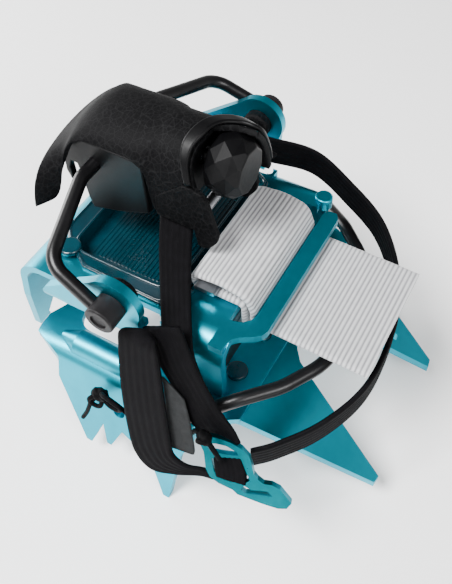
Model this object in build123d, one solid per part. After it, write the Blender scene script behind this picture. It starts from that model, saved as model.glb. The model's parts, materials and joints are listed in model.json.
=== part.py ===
from build123d import *
import os
from math import atan2, cos, degrees, radians, sin, tan

# One crampon of a pair, packed for carrying: the heel unit lies on top of the toe unit.
# Millimetres. +X is the toe direction, +Y the wearer's left, +Z up. z = 0 is the ground
# under the longest teeth. The dimensions below are laid out from the middle of the toe
# unit's plate, and every piece is exported with ORIGIN as its zero.

# ---- Driving dimensions ----
ORIGIN = (-4.8, -1.6, 0)    # centre of the packed crampon's box, at the ground
SHEET = 2.5                 # aluminium sheet of both frames
TOE_TOP = 38.0              # top face of the toe unit's plate
HEEL_TOP = 62.0             # top face of the heel unit's plate, when packed
FIT = 0.06                  # radial running clearance of a pin in its hole
SOFT_GAP = 0.4              # clearance left round webbing
ROOT_RISE = 5.6             # height that the strap climbs before it runs forward

PLATE_HALF = 42.5           # half width of the toe plate over its bends
TOOTH_HALF = 55.0           # half width over the tips of the long teeth
POINT_TIP = (54.0, 22.5, 9.5)   # tip of a front point

EAR_OUT = 40.0              # outside face of the heel unit's upright ears
PIVOT_X, PIVOT_Z = -18.3, 73.8  # heel bail pivot in the ears
BAIL_WIRE = 3.8             # heel bail wire diameter
AXLE_X, AXLE_Z = -41.0, 87.5    # the bail's straight middle, on which the lever turns

LEVER_AXIS_Z = 92.4         # axis of the screw and its knob
SCREW_D = 3.0
KNOB_R, KNOB_LENGTH = 7.8, 10.5
KNOB_FRONT = -1.0           # front face of the knob

TOE_WIRE = 4.0              # toe bail wire diameter
TOE_PIVOT_X, TOE_PIVOT_Z = -5.0, 30.0

STRAP_WIDTH = 38.0          # ribbed linking strap
STRAP_THICK = 2.0
ROOT_X, ROOT_Z = -52.3, 34.5    # where the linking strap bends behind the toe unit
ENTRY_X, ENTRY_Z = 6.8, 54.0    # where it bends into the heel unit's slot

WEB_WIDTH = 10.0            # ankle webbing
WEB_THICK = 1.6
CORD_D = 1.4                # keeper cord

X_AXIS, Y_AXIS, Z_AXIS = Vector(1, 0, 0), Vector(0, 1, 0), Vector(0, 0, 1)


# ---- Helpers ----
def side_prism(points, y_from, y_to):
    """A prism whose outline is drawn in the XZ plane, from one y to another."""
    face = make_face(Polyline(*[(x, 0, z) for x, z in points], close=True))
    return Pos(0, y_from, 0) * extrude(face, amount=y_to - y_from, dir=(0, 1, 0))


def plan_prism(points, z_from, z_to):
    """A prism whose outline is drawn in the XY plane, from one height to another."""
    face = make_face(Polyline(*[(x, y, z_from) for x, y in points], close=True))
    return extrude(face, amount=z_to - z_from, dir=(0, 0, 1))


def both_sides(points):
    """Closes a half outline, given from the centre line outwards, into a whole one."""
    return points + [(x, -y) for x, y in reversed(points) if y != 0]


def mirrored(solid):
    """A left and a right copy of a piece that stands on the +Y side."""
    return [solid, mirror(solid, about=Plane.XZ)]


def cylinder_y(x, z, radius, y_from, y_to):
    """A round bar along Y."""
    middle = (y_from + y_to) / 2
    return Pos(x, middle, z) * Rot(90, 0, 0) * Cylinder(radius, abs(y_to - y_from))


def cylinder_x(x_from, x_to, y, z, radius):
    """A round bar along X."""
    return Pos((x_from + x_to) / 2, y, z) * Rot(0, 90, 0) * Cylinder(radius, x_to - x_from)


def block(x_from, x_to, y_from, y_to, z_from, z_to):
    """A rectangular block between two corners."""
    size = (x_to - x_from, y_to - y_from, z_to - z_from)
    middle = ((x_from + x_to) / 2, (y_from + y_to) / 2, (z_from + z_to) / 2)
    return Pos(*middle) * Box(*size)


def bent_sheet_along_x(points, radius, x_from, x_to, thickness=SHEET):
    """Sheet bent along lines parallel to X. points are its outer face in YZ, left to right,
    and the metal lies on the right of that line."""
    outer = FilletPolyline(*[(0, y, z) for y, z in points], radius=radius)
    inner = offset(outer, amount=thickness, side=Side.RIGHT, closed=False)
    return _between(outer, inner, (x_to - x_from), X_AXIS, (x_from, 0, 0))


def _between(line_a, line_b, depth, direction, start):
    """A prism between a line and its offset."""
    ends = sorted([line_b @ 0, line_b @ 1], key=lambda p: (p - (line_a @ 0)).length)
    caps = [Line(line_a @ 0, ends[0]), Line(line_a @ 1, ends[1])]
    face = make_face(Curve() + line_a + line_b + caps)
    return Pos(*start) * extrude(face, amount=depth, dir=direction)


def band_along_path(points, radii, thickness, y_from, y_to):
    """A strip of even thickness whose middle line is drawn in XZ."""
    line = FilletPolyline(*[(x, 0, z) for x, z in points], radius=radii)
    left = offset(line, amount=thickness / 2, side=Side.LEFT, closed=False)
    right = offset(line, amount=thickness / 2, side=Side.RIGHT, closed=False)
    return _between(left, right, y_to - y_from, Y_AXIS, (0, y_from, 0))


def round_wire(points, radii, diameter):
    """A wire of straight runs and tangent arcs."""
    path = FilletPolyline(*points, radius=radii) if radii else Line(*points)
    return sweep(Plane(origin=path @ 0, z_dir=path % 0) * Circle(diameter / 2), path=path)


def free_arc_radii(points):
    """The largest arcs that two neighbouring runs leave room for."""
    vectors = [Vector(*b) - Vector(*a) for a, b in zip(points, points[1:])]
    radii = []
    for before, after in zip(vectors, vectors[1:]):
        half_turn = radians(before.get_angle(after)) / 2
        radii.append(0.45 * min(before.length, after.length) / tan(half_turn))
    return radii


def edge_band(points, width, thickness):
    """Webbing that stands on edge, as straight stretches between upright cross-sections."""
    spots = [Vector(*p) for p in points]
    sections = []
    for here, before, after in zip(spots, [spots[0]] + spots[:-1], spots[1:] + [spots[-1]]):
        ahead = after - before
        level = Vector(ahead.X, ahead.Y, 0).normalized()
        plane = Plane(origin=here, x_dir=Vector(-level.Y, level.X, 0), z_dir=level)
        sections.append(plane * Rectangle(thickness, width))
    return loft(sections, ruled=True)


def flat_web(corners, thickness, outward):
    """A flat stretch of webbing with the given corners, thickened along outward."""
    face = make_face(Polyline(*corners, close=True))
    direction = Vector(*outward).normalized()
    moved = Pos(direction * (-thickness / 2)) * face
    return extrude(moved, amount=thickness, dir=direction)


# ---- Toe unit ----
CLIP_X = 7.6                # row of snap studs behind the front points
CLAMP_X = -47.0             # row of rivets through the rear cross member
RIVETS_Y = (-12, 0, 12)


def front_frame():
    """Channel-shaped toe frame: plate, splayed toothed walls and two slanted front points."""
    section = [(-TOOTH_HALF, 0), (-PLATE_HALF, TOE_TOP), (PLATE_HALF, TOE_TOP), (TOOTH_HALF, 0)]
    channel = bent_sheet_along_x(section, 5.5, -53, 16)
    teeth = [
        (-54, TOE_TOP + 9), (17, TOE_TOP + 9), (17, 30.5), (5, 28), (1.5, 20), (-0.4, 0),
        (-2.4, 0), (-8, 12), (-19, 17.5), (-22.6, 9.5), (-24.2, 9.5), (-26, 17),
        (-30, 6.5), (-32, 6.5), (-45.5, 32), (-54, 32),
    ]
    channel &= side_prism(teeth, -70, 70)
    plan = both_sides([(-50, 0), (-50, 27), (-53.5, 34.6), (-52.5, 40.2), (-43, 43.6), (-43, 60),
                       (2.5, 60), (4.5, 43.5), (15.5, 37.0), (15.5, 0)])
    channel &= plan_prism(plan, -1, TOE_TOP + 10)

    slope = [(6, TOE_TOP - SHEET / 2), (13, TOE_TOP - SHEET / 2), (POINT_TIP[0] + 2, POINT_TIP[2] - 1.3)]
    points = band_along_path(slope, 7, SHEET, -45, 45)
    outline = both_sides([(8, 0), (8, 40.0), (15.5, 36.5), (POINT_TIP[0], 24.2), (54.4, 21.6),
                          (21, 9.5), (18, 6), (17.4, 0)])
    points &= plan_prism(outline, -5, TOE_TOP + 5)
    frame = channel + points

    well = Pos(-20, 0, TOE_TOP) * extrude(RectangleRounded(48, 66, 6), amount=10, both=True)
    frame -= well
    for side in (1, -1):
        frame += rail_bead(side)
        frame += point_swage(side)
        for x, z in ((TOE_PIVOT_X, TOE_PIVOT_Z), (-20.5, 25.0)):
            frame -= cylinder_y(x, z, TOE_WIRE / 2 + FIT, side * 36, side * 60)
    for y in RIVETS_Y:
        frame -= Pos(CLAMP_X, y, TOE_TOP) * Cylinder(2, 12)
    for y in (-24, -9, 9, 24):
        frame -= Pos(CLIP_X, y, TOE_TOP) * Cylinder(1.8, 12)
    return frame


def rail_bead(side):
    """A hollow stamped bead that stiffens one side rail, with tapered ends."""
    outside = Pos(-29, side * 37.3, TOE_TOP - 1.2) * Rot(0, 90, 0) * Cylinder(4.2, 20)
    for end, turn in ((-39, -90), (-19, 90)):
        outside += Pos(end + (-3 if turn < 0 else 3), side * 37.3, TOE_TOP - 1.2) * Rot(0, turn, 0) * Cone(4.2, 1.6, 6)
    return outside & block(-60, 10, side * 37.3 - 8, side * 37.3 + 8, TOE_TOP - 1.0, TOE_TOP + 8)


def point_swage(side):
    """The long three-sided swage that stiffens a front point."""
    fall = atan2(TOE_TOP - 1.2 - POINT_TIP[2] + 1.3, POINT_TIP[0] + 2 - 13)
    base = Plane(origin=(14.5, 0, TOE_TOP - 0.6), x_dir=(cos(fall), 0, -sin(fall)),
                 z_dir=(sin(fall), 0, cos(fall)))
    outline = Polyline((0, side * 13.5), (33, side * 20.6), (33, side * 22.4), (0, side * 31), close=True)
    return extrude(base * make_face(outline), amount=1.5, taper=38)


def front_antiball_plate():
    """Plastic plate under the toe frame that keeps snow from balling up."""
    plate = Pos(-1.5, 0, TOE_TOP - SHEET - 1.0) * extrude(RectangleRounded(24, 62, 5), amount=1.0, both=True)
    plate -= Pos(-5, 0, TOE_TOP - SHEET) * extrude(RectangleRounded(11, 52, 4), amount=0.8, both=True)
    plate += Pos(-5, 0, TOE_TOP - SHEET - 2.4) * extrude(RectangleRounded(14, 55, 5), amount=0.6, both=True)
    for y in (-24, -9, 9, 24):
        plate -= Pos(CLIP_X, y, TOE_TOP - 3) * Cylinder(1.8, 12)
    return plate


def front_antiball_clips():
    """Four snap studs that hold the plate under the front cross member."""
    clips = []
    for y in (-24, -9, 9, 24):
        shank = Pos(CLIP_X, y, TOE_TOP - 2.4) * Cylinder(1.75, 6.4)
        head = Pos(CLIP_X, y, TOE_TOP + 0.6) * fillet((Cylinder(3.2, 1.2)).edges().group_by(Axis.Z)[-1], 0.5)
        foot = Pos(CLIP_X, y, TOE_TOP - 6.1) * Cylinder(2.6, 1.2)
        clips.append(shank + head + foot)
    return clips


def strap_clamp_plate():
    """Plate that clamps the strap's end under the rear cross member."""
    under_strap = TOE_TOP - SHEET - STRAP_THICK
    plate = Pos(CLAMP_X, 0, under_strap - 0.75) * extrude(RectangleRounded(6, 38, 1.2), amount=0.75, both=True)
    for y in RIVETS_Y:
        plate -= Pos(CLAMP_X, y, under_strap) * Cylinder(2, 12)
    return plate


def strap_rivets():
    """Three rivets through cross member, strap and clamp plate, flush below."""
    rivets = []
    foot = TOE_TOP - SHEET - STRAP_THICK - 1.5
    for y in RIVETS_Y:
        shank = Pos(CLAMP_X, y, (TOE_TOP + foot) / 2) * Cylinder(2, TOE_TOP - foot)
        head = Pos(CLAMP_X, y, TOE_TOP + 0.4) * fillet(Cylinder(2.7, 0.8).edges().group_by(Axis.Z)[-1], 0.6)
        rivets.append(shank + head)
    return rivets


def link_strap_stub():
    """The riveted end of the linking strap, under the rear cross member."""
    top = TOE_TOP - SHEET
    end = ROOT_X + STRAP_THICK / 2 + SOFT_GAP
    stub = block(end, -43.0, -STRAP_WIDTH / 2, STRAP_WIDTH / 2, top - STRAP_THICK, top)
    for y in RIVETS_Y:
        stub -= Pos(CLAMP_X, y, TOE_TOP) * Cylinder(2, 12)
    return stub


# Half of the toe bail's route, from its inner end on the +Y side to the middle.
TOE_ROUTE = [(TOE_PIVOT_X, 40.2, TOE_PIVOT_Z), (TOE_PIVOT_X, 49.6, TOE_PIVOT_Z), (3.2, 45.0, 41.8),
             (14.0, 35.6, 45.6), (23.0, 26.6, 46.2), (30.5, 14.0, 46.6)]


def toe_bail():
    """Wire bail over the front of the toe unit, hooked into the walls from outside."""
    points = TOE_ROUTE + [(x, -y, z) for x, y, z in reversed(TOE_ROUTE)]
    half_radii = [3.2, 8, 14, 18]
    radii = half_radii + [20, 20] + half_radii[::-1]
    return round_wire(points, radii, TOE_WIRE)


def toe_bail_caps():
    """Push-on caps on the bail's ends, inside the walls."""
    cap = cylinder_y(TOE_PIVOT_X, TOE_PIVOT_Z, 3.4, 38.8, 41.0)
    cap -= cylinder_y(TOE_PIVOT_X, TOE_PIVOT_Z, TOE_WIRE / 2, 40.2, 44)
    return mirrored(cap)


# ---- Linking strap between the units ----
def link_strap_run():
    """The free stretch of the linking strap: up behind the toe unit, then forward to the slot."""
    path = [(ROOT_X, ROOT_Z), (ROOT_X, ROOT_Z + ROOT_RISE), (ENTRY_X, ENTRY_Z)]
    strip = band_along_path(path, 2.2, STRAP_THICK, -STRAP_WIDTH / 2, STRAP_WIDTH / 2)
    for x, z in ((ROOT_X, ROOT_Z), (ENTRY_X, ENTRY_Z)):
        strip += cylinder_y(x, z, STRAP_THICK / 2, -STRAP_WIDTH / 2, STRAP_WIDTH / 2)
    return strip


def link_strap_buckled():
    """The strap from the slot back round the locking bar, forward again and under the crossbar."""
    low = HEEL_TOP + 1.4
    turn_x = -8.4
    path = [
        (ENTRY_X, ENTRY_Z + STRAP_THICK / 2 + SOFT_GAP), (ENTRY_X, low), (turn_x, low),
        (turn_x, low + 4.2), (0.0, low + 5.2), (7.4, low + 3.6), (9.45, HEEL_TOP - 0.2),
        (9.6, HEEL_TOP - 4.6), (43.0, HEEL_TOP - 5.6),
    ]
    radii = [1.7, 2.0, 2.0, 14, 4.5, 4.5, 1.5]
    return band_along_path(path, radii, STRAP_THICK, -STRAP_WIDTH / 2, STRAP_WIDTH / 2)


def strap_locking_bar():
    """The loose bar that the strap turns round, which locks its length."""
    bar = block(-7.2, -0.8, -20.6, 20.6, HEEL_TOP + 2.6, HEEL_TOP + 4.2)
    return fillet(bar.edges().filter_by(Axis.Y), 0.7)


# ---- Heel unit ----
def heel_frame():
    """Heel frame: plate, upright ears, front side walls, rear teeth and an open crossbar."""
    top = HEEL_TOP
    walls = bent_sheet_along_x([(-34, top - 23), (-34, top), (34, top), (34, top - 23)], 7, -13, 8.5)
    walls &= side_prism([(-14, top + 1), (8.5, top + 1), (8.5, top - 23), (-1, top - 23), (-13, top - 9),
                         (-14, top - 9)], -40, 40)

    lip = SHEET
    trough = bent_sheet_along_x([(EAR_OUT, top + 24), (EAR_OUT, top - lip), (-EAR_OUT, top - lip),
                                 (-EAR_OUT, top + 24)], 4.5, -44, -9)
    tail = side_prism([(-43, top - 4), (-43, top + 2.5), (-41.5, top + 4.5), (PIVOT_X - 3, PIVOT_Z + 7.2),
                       (PIVOT_X + 7, PIVOT_Z - 3), (-12.5, top - 4)], -45, 45)
    round_end = cylinder_y(PIVOT_X, PIVOT_Z, 7.8, -45, 45)
    trough &= tail + round_end
    trough -= block(-14, 0, 32.5, 50, top - 4, top + 3) + block(-14, 0, -50, -32.5, top - 4, top + 3)

    back = band_along_path([(-9, top - SHEET / 2), (-56.5, top - SHEET / 2), (-63.6, 22)], 8, SHEET, -34, 34)
    back &= plan_prism(both_sides([(-70, 0), (-70, 34), (-44, 34), (-9, 32.5), (-9, 0)]), 0, top + 1)
    notch = Plane.YZ * make_face(Polyline((-22, 10), (-27.5, 26), (-14, 50), (14, 50), (27.5, 26), (22, 10),
                                          close=True))
    back -= Pos(-75, 0, 0) * extrude(notch, amount=30)
    for side in (1, -1):
        tip = Plane.YZ * make_face(Polyline((side * 36, 20), (side * 31.6, 20), (side * 34.2, 46),
                                            (side * 36, 46), close=True))
        back -= Pos(-75, 0, 0) * extrude(tip, amount=30)
    back -= block(-75, -50, -40, 40, 0, 24)
    frame = walls + trough + back

    frame -= Pos(-28, 0, top) * extrude(RectangleRounded(38, 52, 7), amount=10, both=True)
    for side in (1, -1):
        frame -= Pos(-23, side * 31.2, top) * extrude(SlotOverall(26, 3.6), amount=6, both=True)
        frame -= cylinder_y(PIVOT_X, PIVOT_Z, BAIL_WIRE / 2 + FIT, side * 36, side * 42)
        frame -= Pos(-46, side * 24, top) * Cylinder(2.0, 12)
    frame -= block(5.2, 12, -24, 24, top - 10, top + 2)
    frame += crossbar() + far_lug()
    return frame


def crossbar():
    """The bar that the strap passes under, joined to the plate at one end and open at the other."""
    arm = [(4, -32.7), (8.1, -32.7), (8.2, -30.2), (8.8, -28.4), (10.2, -27.0), (11.9, -26.0), (13.6, -25.0),
           (15.0, -23.8), (15.8, -21.8), (15.8, 22.5), (14.6, 24.3), (12.4, 24.3), (11.0, 22.5), (11.0, -18.6),
           (10.3, -20.8), (8.8, -22.4), (6.6, -23.2), (4, -23.4)]
    return plan_prism(arm, HEEL_TOP - SHEET, HEEL_TOP)


def far_lug():
    """The rounded stop beside the crossbar's open end."""
    lug = Pos(8.6, 28.2, HEEL_TOP - SHEET / 2 + 0.6) * Cylinder(2.7, SHEET + 1.2)
    return fillet(lug.edges().group_by(Axis.Z)[-1], 0.8)


def heel_antiball_plate():
    """Moulded dish that snaps into the heel plate's opening and sheds snow."""
    rim_outline = both_sides([(-52, 0), (-52, 17.5), (-49, 21.5), (-39, 28), (-13.5, 28.6), (-8.5, 25.5),
                              (-7.2, 20), (-10.2, 19.6), (-10.2, 0)])
    rim = plan_prism(rim_outline, HEEL_TOP, HEEL_TOP + 1.3)
    rim = fillet(rim.edges().group_by(Axis.Z)[-1], 0.6)
    pan = Pos(-28, 0, HEEL_TOP - 2.2) * extrude(RectangleRounded(37, 51, 6.5), amount=2.2, both=True)
    dish = rim + pan
    hollow = Pos(-29.5, 0, HEEL_TOP + 0.6) * extrude(RectangleRounded(33, 47, 5.5), amount=3.6, both=True)
    dish -= hollow
    for side in (1, -1):
        dish -= Pos(-46, side * 24, HEEL_TOP) * Cylinder(2.0, 12)
    return dish


def heel_antiball_clips():
    """Round studs that hold the dish at the rear corners."""
    clips = []
    for side in (1, -1):
        shank = Pos(-46, side * 24, HEEL_TOP - 0.6) * Cylinder(1.95, 6.0)
        head = Pos(-46, side * 24, HEEL_TOP + 1.9) * fillet(Cylinder(3.3, 1.2).edges().group_by(Axis.Z)[-1], 0.7)
        clips.append(shank + head)
    return clips


# ---- Heel bail ----
BAIL_ROUTE = [(PIVOT_X, 35.6, PIVOT_Z), (PIVOT_X, 43.4, PIVOT_Z), (-35.3, 40.8, 81.2), (AXLE_X, 18.0, AXLE_Z)]


def heel_bail():
    """Wire bail that carries the heel lever."""
    points = BAIL_ROUTE + [(x, -y, z) for x, y, z in reversed(BAIL_ROUTE)]
    return round_wire(points, [2.6, 7.5, 6, 6, 7.5, 2.6], BAIL_WIRE)


def bail_outer_bushes():
    """Round bushes over the wire's ends outside the ears."""
    bush = cylinder_y(PIVOT_X, PIVOT_Z, 4.1, EAR_OUT + 0.25, EAR_OUT + 6.2)
    bush = fillet(bush.edges().group_by(Axis.Y)[-1], 0.6)
    bush -= heel_bail()
    bush -= cylinder_y(PIVOT_X, PIVOT_Z, 2.3, EAR_OUT + 5.7, EAR_OUT + 7)
    left = bush.solids().sort_by(SortBy.VOLUME)[-1]
    return mirrored(left)


def bail_inner_caps():
    """Domed caps on the wire's ends inside the ears."""
    cap = cylinder_y(PIVOT_X, PIVOT_Z, 4.3, 34.2, EAR_OUT - SHEET - 0.25)
    cap = fillet(cap.edges().group_by(Axis.Y)[0], 1.2)
    cap -= cylinder_y(PIVOT_X, PIVOT_Z, BAIL_WIRE / 2, 35.6, 40)
    return mirrored(cap)


# ---- Heel lever ----
def lever_carriage():
    """The nut block that turns on the bail and that the screw draws along the lever."""
    body = fillet(block(-46.5, -36.5, -8, 8, 84.6, 94.6).edges().filter_by(Axis.Y), 1.2)
    body -= cylinder_y(AXLE_X, AXLE_Z, BAIL_WIRE / 2 + FIT, -10, 10)
    body -= cylinder_x(-48, -35, 0, LEVER_AXIS_Z, SCREW_D / 2 + FIT)
    return body


def lever_shell():
    """Hard cover of the heel lever: rear hood, narrow spine, barrel and two front legs."""
    arch = ThreePointArc((0, -30, 80), (0, 0, 98.6), (0, 30, 80))
    inner = ThreePointArc((0, -27.2, 79), (0, 0, 96.2), (0, 27.2, 79))
    skin = make_face(Curve() + arch + inner + [Line(arch @ 0, inner @ 0), Line(arch @ 1, inner @ 1)])
    cover = Pos(-57, 0, 0) * extrude(skin, amount=34, dir=(1, 0, 0))
    keep = both_sides([(-56.5, 0), (-56, 8), (-52, 27), (-49.2, 27), (-47.2, 15), (-42, 10.4), (-24, 10.4),
                       (-24, 0)])
    cover &= plan_prism(keep, 70, 110)
    barrel = cylinder_x(-25, -1.5, 0, 91.6, 11.4) - cylinder_x(-23, 0, 0, 91.6, 9.2)
    barrel &= block(-26, 0, -20, 20, 82, 110)
    window = Rot(0, 34, 0) * Box(22, 30, 14)
    barrel -= Pos(2.0, 0, 103) * window
    legs = side_prism([(-25, 72), (-1.2, 75), (-3.2, 88), (-25, 84)], 9.6, 11.6)
    leg = Pos(0, 0, 0) * legs
    shell = cover + barrel
    for piece in mirrored(leg):
        shell += piece
    floor = block(-25, -22.6, -11.6, 11.6, 72, 84.5)
    shell += floor
    shell -= cylinder_x(-30, 0, 0, LEVER_AXIS_Z, SCREW_D / 2 + 0.3)
    shell -= block(-50, -25.2, -9.2, 9.2, 70, 95.4)
    return shell.solids().sort_by(SortBy.VOLUME)[-1]


def lever_cheeks():
    """Smooth inner cheeks under the spine, one each side of the carriage."""
    profile = [(-47.5, 77.5), (-25.1, 74), (-25.1, 91.5), (-42, 91.5), (-47.5, 88)]
    cheek = side_prism(profile, 9.3, 12.3)
    slot = Pos(AXLE_X, 12, AXLE_Z) * Rot(90, 0, 0) * extrude(SlotOverall(9.4, BAIL_WIRE + 1.2), amount=6, both=True)
    cheek -= slot
    return mirrored(cheek)


def webbing_bar():
    """Steel pin under the barrel that the ankle webbing hangs from."""
    return cylinder_y(-12.5, 77.4, 1.6, -9.5, 9.5)


def adjuster_knob():
    """Faceted knob at the front of the lever."""
    knob = Pos(KNOB_FRONT - KNOB_LENGTH, 0, LEVER_AXIS_Z) * Rot(0, 90, 0) * extrude(
        RegularPolygon(KNOB_R + 0.3, 9), amount=KNOB_LENGTH, taper=5)
    knob = chamfer(knob.edges().group_by(Axis.X)[-1], 0.9)
    knob -= cylinder_x(-20, KNOB_FRONT - 4, 0, LEVER_AXIS_Z, SCREW_D / 2)
    return knob


def adjuster_screw():
    """The adjusting screw, pressed into the knob."""
    return cylinder_x(-48.0, KNOB_FRONT - 4, 0, LEVER_AXIS_Z, SCREW_D / 2)


def screw_clip():
    """Retaining ring that keeps the screw in the lever."""
    ring = cylinder_x(-28.6, -27.6, 0, LEVER_AXIS_Z, 3.0)
    return ring - cylinder_x(-30, -26, 0, LEVER_AXIS_Z, SCREW_D / 2)


# ---- Ankle strap ----
def web_between(start, end, across):
    """Flat webbing from one line to a parallel one, given their middles and half width."""
    corners = [tuple(Vector(*start) - across), tuple(Vector(*start) + across),
               tuple(Vector(*end) + across), tuple(Vector(*end) - across)]
    outward = (Vector(*end) - Vector(*start)).cross(across)
    return flat_web(corners, WEB_THICK, outward)


def strap_hanger_near():
    """Webbing from the lever's pin to the near edge of the heel plate."""
    return web_between((-17.3, -12.9, 73.6), (-5.6, -34.6, 67.2), Vector(4.2, 0.7, 0.1))


def web_on_slope(outline, offset_y, thickness=WEB_THICK):
    """Webbing that lies against the near side, on a plane that leans out as it falls."""
    lean = 1 / 3
    corners = [(x, -(offset_y + (HEEL_TOP - z) * lean), z) for x, z in outline]
    return flat_web(corners, thickness, (0, -1, -lean))


def ankle_strap_down():
    """Webbing that runs down the near side to the hook."""
    return web_on_slope([(-9.6, 66.0), (2.6, 66.0), (6.1, 60.4), (13.1, 52.4), (18.6, 47.0), (13.2, 44.2),
                         (9.2, 43.6), (3.4, 46.8), (-0.1, 51.8), (-5.3, 56.9), (-7.2, 61.5)], 38.5)


def ankle_strap_loop():
    """The outer loop of webbing that hangs beside the near wall."""
    return web_on_slope([(-16.2, 65.2), (-15.1, 67.0), (-4.6, 67.0), (-2.6, 60.4), (1.0, 45.4), (3.0, 35.2),
                         (4.7, 33.2), (7.6, 32.4), (9.9, 33.2), (10.1, 30.0), (5.0, 27.3), (-3.0, 23.9),
                         (-7.8, 27.5), (-11.3, 36.1), (-14.4, 49.2)], 43.9)


RING_ROUTE = [
    (-12.5, 31.0, 70.5), (-1.0, 42.5, 60.5), (12.5, 41.5, 53.5), (24.5, 37.0, 48.5), (34.0, 26.5, 45.5),
    (40.5, 12.5, 44.5), (43.2, -3.0, 44.5), (42.4, -17.5, 43.0), (36.4, -30.5, 40.0), (28.0, -39.5, 36.0),
    (22.5, -43.5, 33.5),
]


def ankle_strap_ring():
    """The long stretch of webbing that goes round the front of the packed crampon."""
    return edge_band(RING_ROUTE, WEB_WIDTH, WEB_THICK)


def strap_hanger_far():
    """Webbing from the lever's pin to the long stretch on the far side."""
    return web_between((-14.6, 12.3, 75.2), (-12.4, 29.0, 71.4), Vector(4.7, 0.2, 0.2))


HOOK_PLANE = Plane(origin=(21.8, -50.4, 39.8), x_dir=(0.69, 0, -0.25), z_dir=(0.25, -0.68, 0.69))


def hook_buckle():
    """Forged hook buckle: a frame with two bars at one end and a slotted hook at the other."""
    frame_end = [(-13.2, 1.6), (-9.4, -0.7), (-8.0, -2.4), (-6.6, -4.1), (-4.5, -5.4), (-1.6, -5.6)]
    hook_end = [(2.4, -4.9), (4.1, -5.2), (11.0, -3.4), (14.8, -2.1), (16.6, -0.8), (16.8, 1.2), (12.3, 2.6)]
    neck = [(9.9, 2.3), (8.0, 1.3), (6.1, 1.4), (4.6, 1.9), (3.0, 3.4), (1.1, 5.1), (-1.8, 5.8)]
    outline = frame_end + hook_end + neck + [(-5.2, 5.5), (-8.6, 4.5), (-11.9, 2.9)]
    plate = extrude(HOOK_PLANE * make_face(Polyline(*outline, close=True)), amount=1.4, both=True)
    openings = [
        [(-10.4, 1.4), (-8.0, 3.1), (-5.6, 4.1), (-2.3, 4.3), (-1.5, 3.7), (-4.3, 2.2), (-8.0, 0.3)],
        [(-6.9, -1.0), (-0.1, 3.1), (4.6, -0.1), (4.0, -1.8), (0.7, -3.4), (-2.6, -4.4), (-4.5, -3.4)],
        [(4.0, -3.6), (4.3, -2.2), (6.5, -2.0), (10.0, 0.2), (11.8, -0.2), (7.9, -2.5), (5.6, -3.7)],
    ]
    for opening in openings:
        window = make_face(Polyline(*opening, close=True))
        plate -= extrude(HOOK_PLANE * window, amount=3, both=True)
    return plate


def hook_strap_wrap():
    """Webbing folded round the buckle's inner bar."""
    patch = [(-6.0, -1.2), (-0.5, 2.3), (3.6, -0.4), (3.2, -1.6), (0.5, -2.8), (-2.6, -3.8), (-4.0, -3.0)]
    face = make_face(Polyline(*patch, close=True))
    return extrude(HOOK_PLANE * face, amount=2.2, both=True)


def label_tag():
    """Woven label sewn on the near webbing."""
    return web_on_slope([(-3.4, 56.9), (3.7, 52.9), (8.9, 37.6), (8.6, 35.2), (2.9, 31.2), (1.6, 33.4)], 42.0, 0.8)


# ---- Keeper cord ----
CORD_ROUTE = [(-22.8, -47.9, 34.8), (-14.5, -48.8, 35.0), (-6.5, -51.9, 32.4), (-1.2, -51.2, 32.8),
              (3.5, -49.2, 35.5), (7.6, -47.3, 41.6), (8.7, -48.7, 46.0), (11.2, -49.8, 48.3)]
KNOT_R = 2.2


def keeper_cord():
    """Thin cord between its two knots."""
    radii = free_arc_radii(CORD_ROUTE)
    print("keeper cord radii", [round(r, 1) for r in radii])
    cord = round_wire(CORD_ROUTE, radii, CORD_D)
    path = FilletPolyline(*CORD_ROUTE, radius=radii)
    print("keeper cord length", round(path.length, 1), "volume", round(cord.volume, 1))
    return cord


def knot(end, before, tail):
    """A small tight knot that butts against one end of the cord, with its loose tail."""
    away = (Vector(*end) - Vector(*before)).normalized()
    lump = Plane(origin=Vector(*end), z_dir=away) * extrude(RegularPolygon(KNOT_R, 8), amount=1.8 * KNOT_R)
    lump = chamfer(lump.edges(), 0.7)
    middle = Vector(*end) + away * (0.9 * KNOT_R)
    reach = Vector(*tail) - middle
    rod = Cylinder(CORD_D / 2, reach.length, align=(Align.CENTER, Align.CENTER, Align.MIN))
    return lump + Plane(origin=middle, z_dir=reach.normalized()) * rod


def cord_knot_rear():
    """The knot on the cord's free end, beside the near wall."""
    return knot(CORD_ROUTE[0], CORD_ROUTE[1], (-30.7, -52.2, 20.9))


def cord_knot_hook():
    """The knot in front of the hook buckle's corner."""
    return knot(CORD_ROUTE[-1], CORD_ROUTE[-2], (18.4, -52.2, 45.4))


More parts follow.
